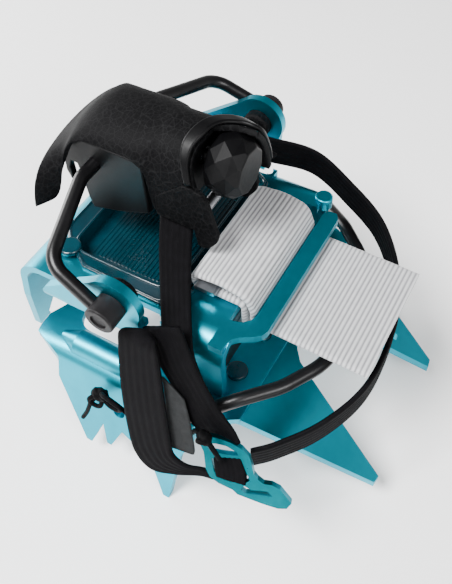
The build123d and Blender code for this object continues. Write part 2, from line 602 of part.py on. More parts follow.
NODES = {
    "front_frame": front_frame,
    "front_antiball_plate": front_antiball_plate,
    "front_antiball_clips": front_antiball_clips,
    "strap_clamp_plate": strap_clamp_plate,
    "strap_rivets": strap_rivets,
    "link_strap_stub": link_strap_stub,
    "toe_bail": toe_bail,
    "toe_bail_caps": toe_bail_caps,
    "link_strap_run": link_strap_run,
    "link_strap_buckled": link_strap_buckled,
    "strap_locking_bar": strap_locking_bar,
    "heel_frame": heel_frame,
    "heel_antiball_plate": heel_antiball_plate,
    "heel_antiball_clips": heel_antiball_clips,
    "heel_bail": heel_bail,
    "bail_outer_bushes": bail_outer_bushes,
    "bail_inner_caps": bail_inner_caps,
    "lever_carriage": lever_carriage,
    "lever_shell": lever_shell,
    "lever_cheeks": lever_cheeks,
    "webbing_bar": webbing_bar,
    "adjuster_knob": adjuster_knob,
    "adjuster_screw": adjuster_screw,
    "screw_clip": screw_clip,
    "strap_hanger_near": strap_hanger_near,
    "strap_hanger_far": strap_hanger_far,
    "ankle_strap_down": ankle_strap_down,
    "ankle_strap_loop": ankle_strap_loop,
    "ankle_strap_ring": ankle_strap_ring,
    "hook_buckle": hook_buckle,
    "hook_strap_wrap": hook_strap_wrap,
    "label_tag": label_tag,
    "keeper_cord": keeper_cord,
    "cord_knot_rear": cord_knot_rear,
    "cord_knot_hook": cord_knot_hook,
}

os.makedirs("parts", exist_ok=True)
for name, make in NODES.items():
    made = make()
    solids = made if isinstance(made, list) else made.solids()
    whole = Compound(children=[s for item in solids for s in item.solids()])
    whole = Pos(-ORIGIN[0], -ORIGIN[1], -ORIGIN[2]) * whole
    export_step(whole, "parts/" + name + ".step")
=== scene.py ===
import json
import math
import bpy
import bmesh
from mathutils import Matrix, Vector


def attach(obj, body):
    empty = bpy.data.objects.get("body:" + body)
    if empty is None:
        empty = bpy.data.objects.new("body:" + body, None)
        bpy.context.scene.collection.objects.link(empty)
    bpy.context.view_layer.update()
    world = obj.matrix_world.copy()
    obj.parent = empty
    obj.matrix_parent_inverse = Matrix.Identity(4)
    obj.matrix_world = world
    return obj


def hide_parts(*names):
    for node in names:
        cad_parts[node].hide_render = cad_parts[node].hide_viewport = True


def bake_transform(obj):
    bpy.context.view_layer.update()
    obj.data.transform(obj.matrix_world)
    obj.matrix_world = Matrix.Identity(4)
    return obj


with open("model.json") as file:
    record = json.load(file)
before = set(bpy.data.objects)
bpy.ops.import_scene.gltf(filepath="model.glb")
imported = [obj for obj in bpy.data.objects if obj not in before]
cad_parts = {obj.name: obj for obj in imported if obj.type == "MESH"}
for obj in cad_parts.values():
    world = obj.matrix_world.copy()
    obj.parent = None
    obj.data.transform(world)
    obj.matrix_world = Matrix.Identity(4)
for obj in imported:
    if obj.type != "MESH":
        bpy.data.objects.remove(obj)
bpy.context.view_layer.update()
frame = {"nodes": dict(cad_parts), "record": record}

# One packed crampon. Lengths below are millimetres laid out from the middle of the toe plate;
# at() turns them into the frame's metres.
ORIGIN = Vector((-4.8, -1.6, 0.0))
MM = 0.001
HEEL_TOP = 62.0        # top of the heel plate
LEVER_AXIS_Z = 92.4    # height of the adjusting screw
RIB_PITCH = 1.3        # ribs of the linking strap, also seen through the dish


def at(x, y=None, z=None):
    point = Vector(x) if y is None else Vector((x, y, z))
    return (point - ORIGIN) * MM


# ---- Camera, light and floor ----
def aim(location, target, roll):
    """The right, up and back directions of something at location that looks at target."""
    back = (location - target).normalized()
    turn = back.to_track_quat("Z", "Y").to_matrix()
    right, up = Vector(turn.col[0]), Vector(turn.col[1])
    cos, sin = math.cos(roll), math.sin(roll)
    return right * cos + up * sin, up * cos - right * sin, back


def place(obj, location, target, roll=0.0):
    right, up, back = aim(location, target, roll)
    rows = [[right[i], up[i], back[i], location[i]] for i in range(3)] + [[0, 0, 0, 1]]
    obj.matrix_world = Matrix(rows)


CAMERA_AT, CAMERA_TARGET = (58.9, -112.0, 213.8), (0.0, -15.9, 62.0)
CAMERA_ROLL = math.radians(-2.5)
LENS, SENSOR = 43.15, 36.0
LIGHT_TARGET = (0.0, 0.0, 0.05)
FLOOR_HALF = 3

camera = bpy.data.objects.new("camera", bpy.data.cameras.new("camera"))
bpy.context.scene.collection.objects.link(camera)
camera.data.lens = LENS
camera.data.sensor_width = SENSOR
camera.data.clip_start = 0.01
place(camera, at(*CAMERA_AT), at(*CAMERA_TARGET), CAMERA_ROLL)
bpy.context.scene.camera = camera

world = bpy.data.worlds.new("studio")
bpy.context.scene.world = world
world.use_nodes = True
sky = world.node_tree
sky_coords = sky.nodes.new("ShaderNodeTexCoord")
sky_split = sky.nodes.new("ShaderNodeSeparateXYZ")
sky_ramp = sky.nodes.new("ShaderNodeValToRGB")
low_sky, high_sky = sky_ramp.color_ramp.elements
low_sky.position, low_sky.color = 0.05, (1.0, 1.0, 1.0, 1.0)
high_sky.position, high_sky.color = 0.80, (0.10, 0.10, 0.10, 1.0)
sky.links.new(sky_coords.outputs["Generated"], sky_split.inputs[0])
sky.links.new(sky_split.outputs["Z"], sky_ramp.inputs["Fac"])
sky.links.new(sky_ramp.outputs["Color"], sky.nodes["Background"].inputs["Color"])
sky.nodes["Background"].inputs["Strength"].default_value = 0.95


def soft_box(name, location, size, power):
    lamp = bpy.data.lights.new(name, "AREA")
    lamp.shape = "SQUARE"
    lamp.size = size
    lamp.energy = power
    obj = bpy.data.objects.new(name, lamp)
    bpy.context.scene.collection.objects.link(obj)
    place(obj, Vector(location), Vector(LIGHT_TARGET))


soft_box("key", (-0.25, -0.40, 0.80), 0.35, 22.0)
soft_box("left", (-0.60, 0.05, 0.20), 0.30, 5.0)
soft_box("right", (0.55, -0.30, 0.55), 0.35, 6.0)

floor_mesh = bpy.data.meshes.new("floor")
floor_corners = [(x * FLOOR_HALF, y * FLOOR_HALF, 0) for x, y in ((-1, -1), (1, -1), (1, 1), (-1, 1))]
floor_mesh.from_pydata(floor_corners, [], [(0, 1, 2, 3)])
floor = bpy.data.objects.new("floor", floor_mesh)
bpy.context.scene.collection.objects.link(floor)


# ---- Materials ----
def linear(r, g, b):
    out = []
    for c in (r, g, b):
        c = c / 255.0
        out.append(c / 12.92 if c <= 0.04045 else ((c + 0.055) / 1.055) ** 2.4)
    return (*out, 1.0)


class Finish:
    """A node material built round one Principled shader."""

    def __init__(self, name, **sockets):
        self.mat = bpy.data.materials.new(name)
        self.mat.use_nodes = True
        self.tree = self.mat.node_tree
        self.shader = self.tree.nodes["Principled BSDF"]
        for key, value in sockets.items():
            self.shader.inputs[key.replace("_", " ")].default_value = value
        self.coords = self.node("ShaderNodeTexCoord")
        self.normal = None

    def node(self, kind, **values):
        n = self.tree.nodes.new(kind)
        for key, value in values.items():
            if key in n.inputs:
                n.inputs[key].default_value = value
            else:
                setattr(n, key, value)
        return n

    def link(self, a, b):
        self.tree.links.new(a, b)

    def noise(self, scale, detail=4.0):
        n = self.node("ShaderNodeTexNoise", Scale=scale, Detail=detail, Roughness=0.6)
        self.link(self.coords.outputs["Object"], n.inputs["Vector"])
        return n.outputs["Fac"]

    def ramp(self, fac, *stops):
        n = self.node("ShaderNodeValToRGB")
        ramp = n.color_ramp
        while len(ramp.elements) < len(stops):
            ramp.elements.new(0.5)
        for element, (pos, color) in zip(ramp.elements, stops):
            element.position = pos
            element.color = color
        self.link(fac, n.inputs["Fac"])
        return n.outputs["Color"]

    def colour(self, fac, *stops):
        self.link(self.ramp(fac, *stops), self.shader.inputs["Base Color"])

    def rough(self, fac, low, high):
        n = self.node("ShaderNodeMapRange")
        n.inputs["To Min"].default_value = low
        n.inputs["To Max"].default_value = high
        self.link(fac, n.inputs["Value"])
        self.link(n.outputs["Result"], self.shader.inputs["Roughness"])

    def bump(self, height, strength, distance):
        n = self.node("ShaderNodeBump")
        n.inputs["Strength"].default_value = strength
        n.inputs["Distance"].default_value = distance
        self.link(height, n.inputs["Height"])
        if self.normal:
            self.link(self.normal, n.inputs["Normal"])
        self.normal = n.outputs["Normal"]
        self.link(self.normal, self.shader.inputs["Normal"])

    def wave(self, direction, scale, space="UV", distortion=0.0):
        n = self.node("ShaderNodeTexWave", Scale=scale, Distortion=distortion)
        n.wave_type = "BANDS"
        n.bands_direction = direction
        self.link(self.coords.outputs[space], n.inputs["Vector"])
        return n.outputs["Fac"]

    def edge_distance(self, scale):
        n = self.node("ShaderNodeTexVoronoi", Scale=scale)
        n.feature = "DISTANCE_TO_EDGE"
        self.link(self.coords.outputs["Object"], n.inputs["Vector"])
        return n.outputs["Distance"]

    def math(self, operation, a, b):
        n = self.node("ShaderNodeMath", operation=operation)
        for socket, value in zip(n.inputs, (a, b)):
            if isinstance(value, (int, float)):
                socket.default_value = value
            else:
                self.link(value, socket)
        return n.outputs["Value"]


def anodised():
    f = Finish("anodised_teal", Metallic=1.0, Coat_Weight=0.03, Coat_Roughness=0.2)
    f.colour(f.noise(45.0), (0.3, linear(0, 142, 163)), (0.7, linear(0, 164, 187)))
    grain = f.noise(1400.0, 3.0)
    f.rough(grain, 0.30, 0.44)
    f.bump(grain, 0.10, 0.00004)
    f.bump(f.noise(160.0, 2.0), 0.06, 0.0002)
    return f.mat


def dish_plastic():
    f = Finish("dish_teal", Coat_Weight=0.25, Coat_Roughness=0.08, IOR=1.5)
    f.colour(f.noise(60.0), (0.3, linear(0, 30, 40)), (0.75, linear(0, 50, 60)))
    f.rough(f.noise(500.0), 0.16, 0.30)
    f.bump(f.noise(900.0, 2.0), 0.08, 0.00005)
    return f.mat


def clear_plastic():
    f = Finish("antiball_dark", Coat_Weight=0.3, Coat_Roughness=0.15)
    f.colour(f.noise(80.0), (0.3, linear(12, 46, 52)), (0.75, linear(26, 72, 78)))
    f.rough(f.noise(500.0), 0.22, 0.38)
    f.bump(f.noise(700.0, 2.0), 0.1, 0.00008)
    return f.mat


def strap_fabric():
    f = Finish("strap_grey_weave", Sheen_Weight=0.25, Sheen_Roughness=0.5)
    split = f.node("ShaderNodeSeparateXYZ")
    f.link(f.coords.outputs["UV"], split.inputs[0])
    # Painted shade: the colour is darkened in the rib grooves, where shade falls between the ribs; the fuzz
    # noise adds random tone on top.
    swing = f.math("COSINE", f.math("MULTIPLY", split.outputs["X"], math.pi / RIB_PITCH), 0.0)
    groove = f.math("POWER", f.math("MULTIPLY", swing, swing), 1.6)
    weave = f.math("MULTIPLY", f.wave("Y", 0.9), f.wave("X", 0.95))
    painted_groove_shade, fuzz = f.math("MULTIPLY", groove, 0.75), f.math("MULTIPLY", f.noise(400.0, 6.0), 0.25)
    groove_shade_and_fuzz = f.math("ADD", painted_groove_shade, fuzz)
    f.colour(groove_shade_and_fuzz, (0.05, linear(190, 191, 193)), (0.9, linear(116, 117, 120)))
    f.rough(weave, 0.72, 0.92)
    f.bump(weave, 0.3, 0.00010)
    f.bump(f.noise(2600.0, 2.0), 0.2, 0.00006)
    return f.mat


def webbing_fabric():
    f = Finish("webbing_black_weave", Specular_IOR_Level=0.06)
    cross = f.wave("X", 1.7, distortion=0.4)
    ribs = f.wave("Y", 1.1)
    weave = f.math("MULTIPLY", cross, ribs)
    f.colour(f.noise(500.0, 6.0), (0.25, linear(3, 3, 4)), (0.8, linear(10, 9, 12)))
    f.rough(weave, 0.66, 0.9)
    f.bump(weave, 0.6, 0.00015)
    f.bump(f.noise(3000.0, 2.0), 0.3, 0.00008)
    return f.mat


def cord_fibre():
    f = Finish("cord_braid", Specular_IOR_Level=0.05)
    braid = f.math("MULTIPLY", f.wave("DIAGONAL", 420.0, "Object"), f.wave("Z", 600.0, "Object"))
    f.colour(f.noise(900.0, 4.0), (0.3, linear(2, 2, 3)), (0.8, linear(10, 10, 11)))
    f.rough(braid, 0.6, 0.85)
    f.bump(braid, 0.5, 0.0001)
    return f.mat


def wire_coating():
    f = Finish("wire_black", Specular_IOR_Level=0.30)
    f.colour(f.noise(120.0, 5.0), (0.3, linear(4, 4, 5)), (0.8, linear(12, 11, 13)))
    f.rough(f.noise(900.0), 0.26, 0.42)
    f.bump(f.noise(1200.0, 2.0), 0.12, 0.00005)
    return f.mat


def lever_plastic():
    f = Finish("lever_black_textured", Specular_IOR_Level=0.07)
    white, black = (1, 1, 1, 1), (0, 0, 0, 1)
    coarse = f.ramp(f.edge_distance(520.0), (0.0, white), (0.05, black))
    tight = f.ramp(f.edge_distance(880.0), (0.0, white), (0.06, black))
    fine = f.noise(1500.0, 5.0)
    lines = f.math("MAXIMUM", coarse, f.math("MULTIPLY", tight, 0.6))
    mixed = f.math("ADD", f.math("MULTIPLY", lines, 0.6), f.math("MULTIPLY", fine, 0.35))
    f.colour(mixed, (0.15, linear(2, 2, 3)), (0.95, linear(26, 26, 27)))
    f.rough(mixed, 0.60, 0.80)
    f.bump(mixed, 0.35, 0.00012)
    return f.mat


def smooth_plastic():
    f = Finish("smooth_black", Specular_IOR_Level=0.12)
    f.colour(f.noise(150.0, 4.0), (0.3, linear(3, 3, 4)), (0.8, linear(9, 9, 10)))
    f.rough(f.noise(1000.0), 0.34, 0.5)
    f.bump(f.noise(1800.0, 2.0), 0.12, 0.00004)
    return f.mat


def steel():
    f = Finish("bright_steel", Metallic=1.0)
    f.colour(f.noise(200.0), (0.3, linear(128, 130, 134)), (0.8, linear(168, 170, 174)))
    f.rough(f.noise(1200.0), 0.24, 0.42)
    f.bump(f.noise(1600.0, 2.0), 0.15, 0.00004)
    return f.mat


def bush_plastic():
    f = Finish("bush_grey", Specular_IOR_Level=0.15)
    f.colour(f.noise(200.0), (0.3, linear(14, 13, 14)), (0.8, linear(28, 26, 28)))
    f.rough(f.noise(900.0), 0.4, 0.6)
    f.bump(f.noise(1500.0, 2.0), 0.15, 0.00005)
    return f.mat


def label_fabric():
    f = Finish("label_grey_weave", Specular_IOR_Level=0.2)
    weave = f.math("MULTIPLY", f.wave("X", 2.4), f.wave("Y", 2.4))
    f.colour(f.noise(600.0, 5.0), (0.3, linear(20, 21, 22)), (0.8, linear(38, 40, 41)))
    f.rough(weave, 0.7, 0.9)
    f.bump(weave, 0.4, 0.0001)
    return f.mat


def floor_paper():
    f = Finish("pale_floor", Roughness=0.9)
    f.colour(f.noise(8.0), (0.3, (0.95, 0.95, 0.95, 1)), (0.7, (0.97, 0.97, 0.97, 1)))
    return f.mat


def hook_alloy():
    f = Finish("hook_teal", Metallic=1.0, Coat_Weight=0.10, Coat_Roughness=0.12)
    f.colour(f.noise(120.0), (0.3, linear(0, 146, 160)), (0.75, linear(0, 182, 198)))
    grain = f.noise(1600.0, 3.0)
    f.rough(grain, 0.24, 0.36)
    f.bump(grain, 0.12, 0.00004)
    return f.mat


MATERIALS = {
    "teal_aluminium": anodised(), "dish_plastic": dish_plastic(), "clear_plate": clear_plastic(),
    "strap_grey": strap_fabric(), "webbing_black": webbing_fabric(), "cord_black": cord_fibre(),
    "bail_wire": wire_coating(), "lever_black": lever_plastic(), "knob_black": smooth_plastic(),
    "steel": steel(), "bush_grey": bush_plastic(), "label_grey": label_fabric(),
}
HOOK_FINISH = hook_alloy()
floor.data.materials.append(floor_paper())

NODE_SLOTS = {row["node"]: row["material_slot"] for row in frame["record"]["subparts"]}


# ---- Pieces ----
def finish_piece(obj, body, slot, replaces=()):
    obj.data.materials.append(MATERIALS[slot])
    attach(obj, body)
    if replaces:
        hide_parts(*replaces)
    return obj


def mesh_object(name, points, faces, smooth=True, uvs=None):
    mesh = bpy.data.meshes.new(name)
    mesh.from_pydata([tuple(at(p)) for p in points], [], faces)
    mesh.validate()
    mesh.polygons.foreach_set("use_smooth", [smooth] * len(mesh.polygons))
    if uvs:
        layer = mesh.uv_layers.new(name="UVMap")
        for loop in mesh.loops:
            layer.data[loop.index].uv = uvs[loop.vertex_index]
    obj = bpy.data.objects.new(name, mesh)
    bpy.context.scene.collection.objects.link(obj)
    return obj


def outward(obj):
    work = bmesh.new()
    work.from_mesh(obj.data)
    bmesh.ops.recalc_face_normals(work, faces=work.faces)
    work.to_mesh(obj.data)
    work.free()
    return obj


def curve_points(points, count):
    """Points evenly spaced along a smooth line through the given ones."""
    pts = [Vector(p) for p in points]
    dense = []
    for i in range(len(pts) - 1):
        p0 = pts[i - 1] if i else pts[0] * 2 - pts[1]
        p1, p2 = pts[i], pts[i + 1]
        p3 = pts[i + 2] if i + 2 < len(pts) else p2 * 2 - p1
        for k in range(24):
            t = k / 24.0
            dense.append(0.5 * ((2 * p1) + (p2 - p0) * t + (2 * p0 - 5 * p1 + 4 * p2 - p3) * t * t
                                + (3 * p1 - p0 - 3 * p2 + p3) * t ** 3))
    dense.append(pts[-1])
    return even(dense, count)


def even(line, count):
    lengths = [0.0]
    for a, b in zip(line, line[1:]):
        lengths.append(lengths[-1] + (b - a).length)
    out, j = [], 0
    for i in range(count):
        target = lengths[-1] * i / (count - 1)
        while j < len(line) - 2 and lengths[j + 1] < target:
            j += 1
        span = lengths[j + 1] - lengths[j]
        t = (target - lengths[j]) / span if span else 0.0
        out.append(line[j].lerp(line[j + 1], min(1.0, max(0.0, t))))
    return out


def length_of(line):
    return sum((b - a).length for a, b in zip(line, line[1:]))


def loft_strip(name, left, right, thickness, across_cells, rib, along_rib=None):
    """A closed flat strip between two edge lines with equal counts. rib(v) and along_rib(u) give
    how far the surface stands proud, in mm, at v across and u along."""
    n = len(left)
    mid = [(a + b) / 2 for a, b in zip(left, right)]
    u_at = [0.0]
    for a, b in zip(mid, mid[1:]):
        u_at.append(u_at[-1] + (b - a).length)
    width = sum((a - b).length for a, b in zip(left, right)) / n
    points, uvs, faces = [], [], []
    m = across_cells
    for i in range(n):
        ahead = mid[min(i + 1, n - 1)] - mid[max(i - 1, 0)]
        side = right[i] - left[i]
        normal = ahead.cross(side).normalized()
        for face_side in (1, -1):
            for j in range(m + 1):
                v = j / m if face_side == 1 else 1 - j / m
                edge = min(v, 1 - v) * side.length
                round_off = min(1.0, edge / (thickness * 0.45))
                half = thickness / 2 * math.sqrt(max(0.0, 1 - (1 - round_off) ** 2))
                half = max(half, thickness * 0.12)
                proud = rib(v) + (along_rib(u_at[i]) if along_rib else 0.0)
                proud *= min(1.0, edge / thickness)
                points.append(left[i].lerp(right[i], v) + normal * face_side * (half + proud))
                uvs.append((u_at[i], v * width))
    ring = 2 * (m + 1)
    for i in range(n - 1):
        for k in range(ring):
            a, b = i * ring + k, i * ring + (k + 1) % ring
            faces.append((a, b, b + ring, a + ring))
    faces.append(tuple(reversed(range(ring))))
    faces.append(tuple(range((n - 1) * ring, n * ring)))
    return outward(mesh_object(name, points, faces, uvs=uvs))


WEB_RIBS, WEB_RIB_HEIGHT = 6, 0.11


def web_rib(v):
    return WEB_RIB_HEIGHT * (0.5 - 0.5 * math.cos(2 * math.pi * v * WEB_RIBS)) - WEB_RIB_HEIGHT / 2


def webbing(name, left, right, body, thickness=1.5, count=60, replaces=()):
    a, b = curve_points(left, count), curve_points(right, count)
    obj = loft_strip(name, a, b, thickness, WEB_RIBS * 6, web_rib)
    return finish_piece(obj, body, "webbing_black", replaces)


# ---- Cord first ----
CORD_ROUTE = [(-22.8, -47.9, 34.8), (-14.5, -48.8, 35.0), (-6.5, -51.9, 32.4), (-1.2, -51.2, 32.8),
              (3.5, -49.2, 35.5), (7.6, -47.3, 41.6), (8.7, -48.7, 46.0), (11.2, -49.8, 48.3)]
CORD_D = 1.4


def nurbs_tube(name, route, diameter, cyclic=False):
    curve = bpy.data.curves.new(name, "CURVE")
    curve.dimensions = "3D"
    spline = curve.splines.new("NURBS")
    spline.points.add(len(route) - 1)
    for point, place_at in zip(spline.points, route):
        point.co = (*at(place_at), 1.0)
    spline.order_u = 3
    spline.use_endpoint_u = not cyclic
    spline.use_cyclic_u = cyclic
    spline.resolution_u = 10
    curve.bevel_depth = diameter / 2 * MM
    curve.bevel_resolution = 4
    curve.use_fill_caps = True
    obj = bpy.data.objects.new(name, curve)
    bpy.context.scene.collection.objects.link(obj)
    return obj


cord = nurbs_tube("keeper_cord_braided", CORD_ROUTE, CORD_D)
finish_piece(cord, "heel_bail", "cord_black", ["keeper_cord"])


def lump(name, centre, radii, tilt, replaces):
    """A tight wound knot: a rounded body with wrapped grooves."""
    points, faces = [], []
    rows, cols = 18, 28
    ax, ay, az = [Vector(v).normalized() for v in tilt]
    for i in range(rows + 1):
        phi = math.pi * i / rows
        for j in range(cols):
            theta = 2 * math.pi * j / cols
            wrap = 1.0 + 0.09 * math.sin(3.2 * theta + 7.0 * phi) + 0.05 * math.cos(5 * phi + theta)
            p = (ax * math.cos(phi) * radii[0] + ay * math.sin(phi) * math.cos(theta) * radii[1] * wrap
                 + az * math.sin(phi) * math.sin(theta) * radii[2] * wrap)
            points.append(Vector(centre) + p)
    for i in range(rows):
        for j in range(cols):
            a, b = i * cols + j, i * cols + (j + 1) % cols
            faces.append((a, b, b + cols, a + cols))
    obj = outward(mesh_object(name, points, faces))
    return finish_piece(obj, "heel_bail", "cord_black", replaces)


knot_rear = lump("knot_rear_wound", (-24.6, -47.9, 34.4), (3.0, 2.0, 2.3),
                 ((1, 0, 0.1), (0, 1, 0), (0, 0, 1)),
                 ["cord_knot_rear"])
knot_hook = lump("knot_hook_wound", (12.9, -50.6, 49.6), (2.7, 1.9, 2.2),
                 ((0.7, -0.3, 0.6), (0, 1, 0), (-0.6, 0, 0.7)),
                 ["cord_knot_hook"])
loops = {
    "knot_rear_big_loop": [(-24.0, -47.6, 35.0), (-22.6, -49.2, 38.4), (-18.6, -49.8, 38.6),
                           (-15.4, -49.6, 36.6),
                           (-16.8, -49.6, 34.2), (-21.0, -49.4, 33.4), (-24.0, -48.0, 33.6)],
    "knot_rear_small_loop": [(-24.6, -48.4, 34.6), (-26.8, -50.0, 34.4), (-27.6, -50.2, 31.6),
                             (-25.4, -50.0, 29.8),
                             (-23.2, -49.6, 31.4), (-24.0, -48.4, 33.6)],
    "knot_rear_tail": [(-25.4, -48.4, 33.6), (-27.4, -49.8, 30.8), (-28.2, -50.6, 27.6), (-29.2, -51.2, 24.4),
                       (-30.7, -52.0, 21.4)],
    "knot_hook_tail": [(13.4, -50.8, 49.8), (15.6, -51.8, 49.4), (17.0, -52.2, 47.6), (18.2, -52.4, 45.6)],
    "knot_hook_turn": [(12.0, -50.2, 48.4), (11.6, -52.2, 49.6), (13.0, -52.8, 51.0), (14.8, -51.8, 50.6),
                       (14.2, -50.6, 48.8)],
}
for loop_name, loop_route in loops.items():
    piece = nurbs_tube(loop_name, loop_route, CORD_D)
    finish_piece(piece, "heel_bail", "cord_black")


# ---- Linking strap ----
STRAP_HALF, STRAP_THICK = 19.0, 2.0
STRAP_STEP = 0.22
STRAP_CELLS = 44


def rounded_line(corners, radii):
    """Points along a line in XZ whose corners are rounded."""
    pts = [Vector((x, 0.0, z)) for x, z in corners]
    out = [pts[0]]
    for i in range(1, len(pts) - 1):
        a, b, c = pts[i - 1], pts[i], pts[i + 1]
        back, ahead = (a - b).normalized(), (c - b).normalized()
        angle = back.angle(ahead)
        reach = radii[i - 1] / math.tan(angle / 2)
        start, end = b + back * reach, b + ahead * reach
        centre = b + (back + ahead).normalized() * (radii[i - 1] / math.sin(angle / 2))
        turns = 14
        for k in range(turns + 1):
            t = k / turns
            arm = (start - centre).lerp(end - centre, t).normalized() * radii[i - 1]
            out.append(centre + arm)
    out.append(pts[-1])
    return even(out, max(2, int(length_of(out) / STRAP_STEP)))


def strap_band(name, corners, radii, replaces):
    line = rounded_line(corners, radii)
    left = [p + Vector((0, STRAP_HALF, 0)) for p in line]
    right = [p - Vector((0, STRAP_HALF, 0)) for p in line]

    def ridge(u):
        return 0.10 - 0.28 * abs(math.cos(math.pi * u / RIB_PITCH)) ** 3

    obj = loft_strip(name, left, right, STRAP_THICK - 0.2, STRAP_CELLS, lambda v: 0.0, ridge)
    obj.data.materials.append(MATERIALS["strap_grey"])
    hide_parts(*replaces)
    return obj


lower = strap_band("linking_strap_lower", [(-43.2, 34.5), (-52.3, 34.5), (-52.3, 40.1), (0.0, 51.76)],
                   [0.95, 2.2], ["link_strap_stub", "link_strap_run"])
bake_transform(lower)
STRAP_LOW = HEEL_TOP + 1.4    # the layer that lies on the heel plate
upper = strap_band(
    "linking_strap_buckled",
    [(0.0, 51.76), (6.8, 54.0), (6.8, STRAP_LOW), (-8.4, STRAP_LOW), (-8.4, STRAP_LOW + 4.2),
     (0.0, STRAP_LOW + 5.2), (7.4, STRAP_LOW + 3.6),
     (9.45, HEEL_TOP - 0.2), (9.6, HEEL_TOP - 4.6), (43.0, HEEL_TOP - 5.6)],
    [1.2, 1.7, 2.0, 2.0, 14, 4.5, 4.5, 1.5], ["link_strap_buckled"])
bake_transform(upper)


# ---- Ankle webbing ----
def on_slope(x, z, offset):
    return Vector((x, -(offset + (HEEL_TOP - z) / 3.0), z))


webbing("webbing_from_lever",
        [(-23.9, -9.3, 74.5), (-19.0, -18.1, 71.2), (-13.3, -27.1, 67.7), (-8.6, -34.4, 65.2),
         (-6.4, -38.3, 61.8),
         (-3.0, -40.6, 56.0), (2.0, -43.0, 49.0)],
        [(-15.4, -5.3, 76.0), (-9.5, -17.1, 71.5), (-4.3, -26.2, 68.1), (-0.3, -32.7, 65.6),
         (2.8, -37.2, 62.4),
         (7.0, -40.0, 55.6), (12.6, -42.6, 48.4)],
        "heel_bail", replaces=["strap_hanger_near"])
webbing("webbing_down",
        [on_slope(x, z, 39.8) for x, z in [(-11.3, 66.4), (-9.0, 64.0), (-7.2, 61.0), (-5.3, 57.2),
                                           (-0.1, 51.4),
                                           (4.5, 44.9), (10.0, 40.3)]],
        [on_slope(x, z, 39.8) for x, z in [(-1.0, 71.4), (0.6, 69.0), (2.3, 66.0), (6.1, 60.2), (13.1, 52.0),
                                           (18.0, 47.8), (20.6, 44.6)]],
        "heel_bail", replaces=["ankle_strap_down"])
webbing("webbing_outer_loop",
        [on_slope(-7.0, 66.6, 40.9), on_slope(-11.4, 68.6, 42.6), on_slope(-15.6, 67.4, 43.8),
         on_slope(-16.0, 63.0, 43.9), on_slope(-14.4, 49.2, 43.9), on_slope(-11.6, 36.6, 43.9),
         on_slope(-8.4, 27.9, 43.9), on_slope(-2.6, 24.2, 43.9), on_slope(5.0, 27.2, 43.9),
         on_slope(12.6, 31.8, 43.9), on_slope(16.8, 33.2, 43.9)],
        [on_slope(-6.6, 64.2, 40.9), on_slope(-5.8, 66.6, 42.6), on_slope(-4.6, 66.2, 43.8),
         on_slope(-3.4, 62.4, 43.9), on_slope(-0.2, 49.0, 43.9), on_slope(2.4, 38.8, 43.9),
         on_slope(3.4, 34.8, 43.9), on_slope(5.4, 33.2, 43.9), on_slope(8.6, 33.0, 43.9),
         on_slope(12.2, 34.6, 43.9), on_slope(16.4, 36.2, 43.9)],
        "heel_bail", replaces=["ankle_strap_loop"], count=80)
RING_ROUTE = [(-12.5, 31.0, 70.5), (-1.0, 42.5, 60.5), (12.5, 41.5, 53.5), (24.5, 37.0, 48.5),
              (34.0, 26.5, 45.5), (40.5, 12.5, 44.5), (43.2, -3.0, 44.5), (42.4, -17.5, 43.0),
              (36.4, -30.5, 40.0), (28.0, -39.5, 36.0), (22.5, -43.5, 33.5)]
webbing("webbing_ring", [Vector(p) + Vector((0, 0, 4.9)) for p in RING_ROUTE],
        [Vector(p) - Vector((0, 0, 4.9)) for p in RING_ROUTE], "heel_bail", count=150,
        replaces=["ankle_strap_ring"])
webbing("webbing_to_far_side", [(-19.2, 10.5, 75.0), (-18.4, 20.0, 73.2), (-17.0, 29.0, 71.4)],
        [(-10.0, 10.5, 75.4), (-9.0, 20.0, 73.6), (-7.8, 29.0, 71.6)], "heel_bail",
        replaces=["strap_hanger_far"], count=24)
HOOK_ORIGIN = Vector((21.8, -50.4, 39.8))
HOOK_U = Vector((0.69, 0, -0.25)).normalized()
HOOK_W = Vector((0.25, -0.68, 0.69)).normalized()
HOOK_U = (HOOK_U - HOOK_W * HOOK_U.dot(HOOK_W)).normalized()
HOOK_V = HOOK_W.cross(HOOK_U)


def on_hook(u, v, w):
    return HOOK_ORIGIN + HOOK_U * u + HOOK_V * v + HOOK_W * w


webbing("webbing_round_hook_bar",
        [on_hook(-3.3, -4.2, 1.5), on_hook(-4.6, -2.7, 1.6), on_hook(-6.1, -1.0, 1.4),
         on_hook(-6.8, -0.4, 0.0),
         on_hook(-6.1, -1.0, -1.4), on_hook(-4.6, -2.7, -1.6), on_hook(-3.3, -4.2, -1.5)],
        [on_hook(4.4, -1.6, 1.5), on_hook(2.7, 0.9, 1.6), on_hook(0.2, 2.9, 1.4), on_hook(-0.5, 3.4, 0.0),
         on_hook(0.2, 2.9, -1.4), on_hook(2.7, 0.9, -1.6), on_hook(4.4, -1.6, -1.5)],
        "heel_bail", thickness=1.2, count=48, replaces=["hook_strap_wrap"])
label = loft_strip(
    "woven_label",
    curve_points([on_slope(x, z, 41.9) for x, z in [(-3.4, 56.4), (-1.6, 49.0), (-0.4, 42.5), (1.6, 33.6)]],
                 30),
    curve_points([on_slope(x, z, 41.9) for x, z in [(3.9, 52.4), (6.6, 45.4), (8.9, 37.6), (9.0, 35.2)]], 30),
    0.7, 16, lambda v: 0.0)
finish_piece(label, "heel_bail", "label_grey", ["label_tag"])


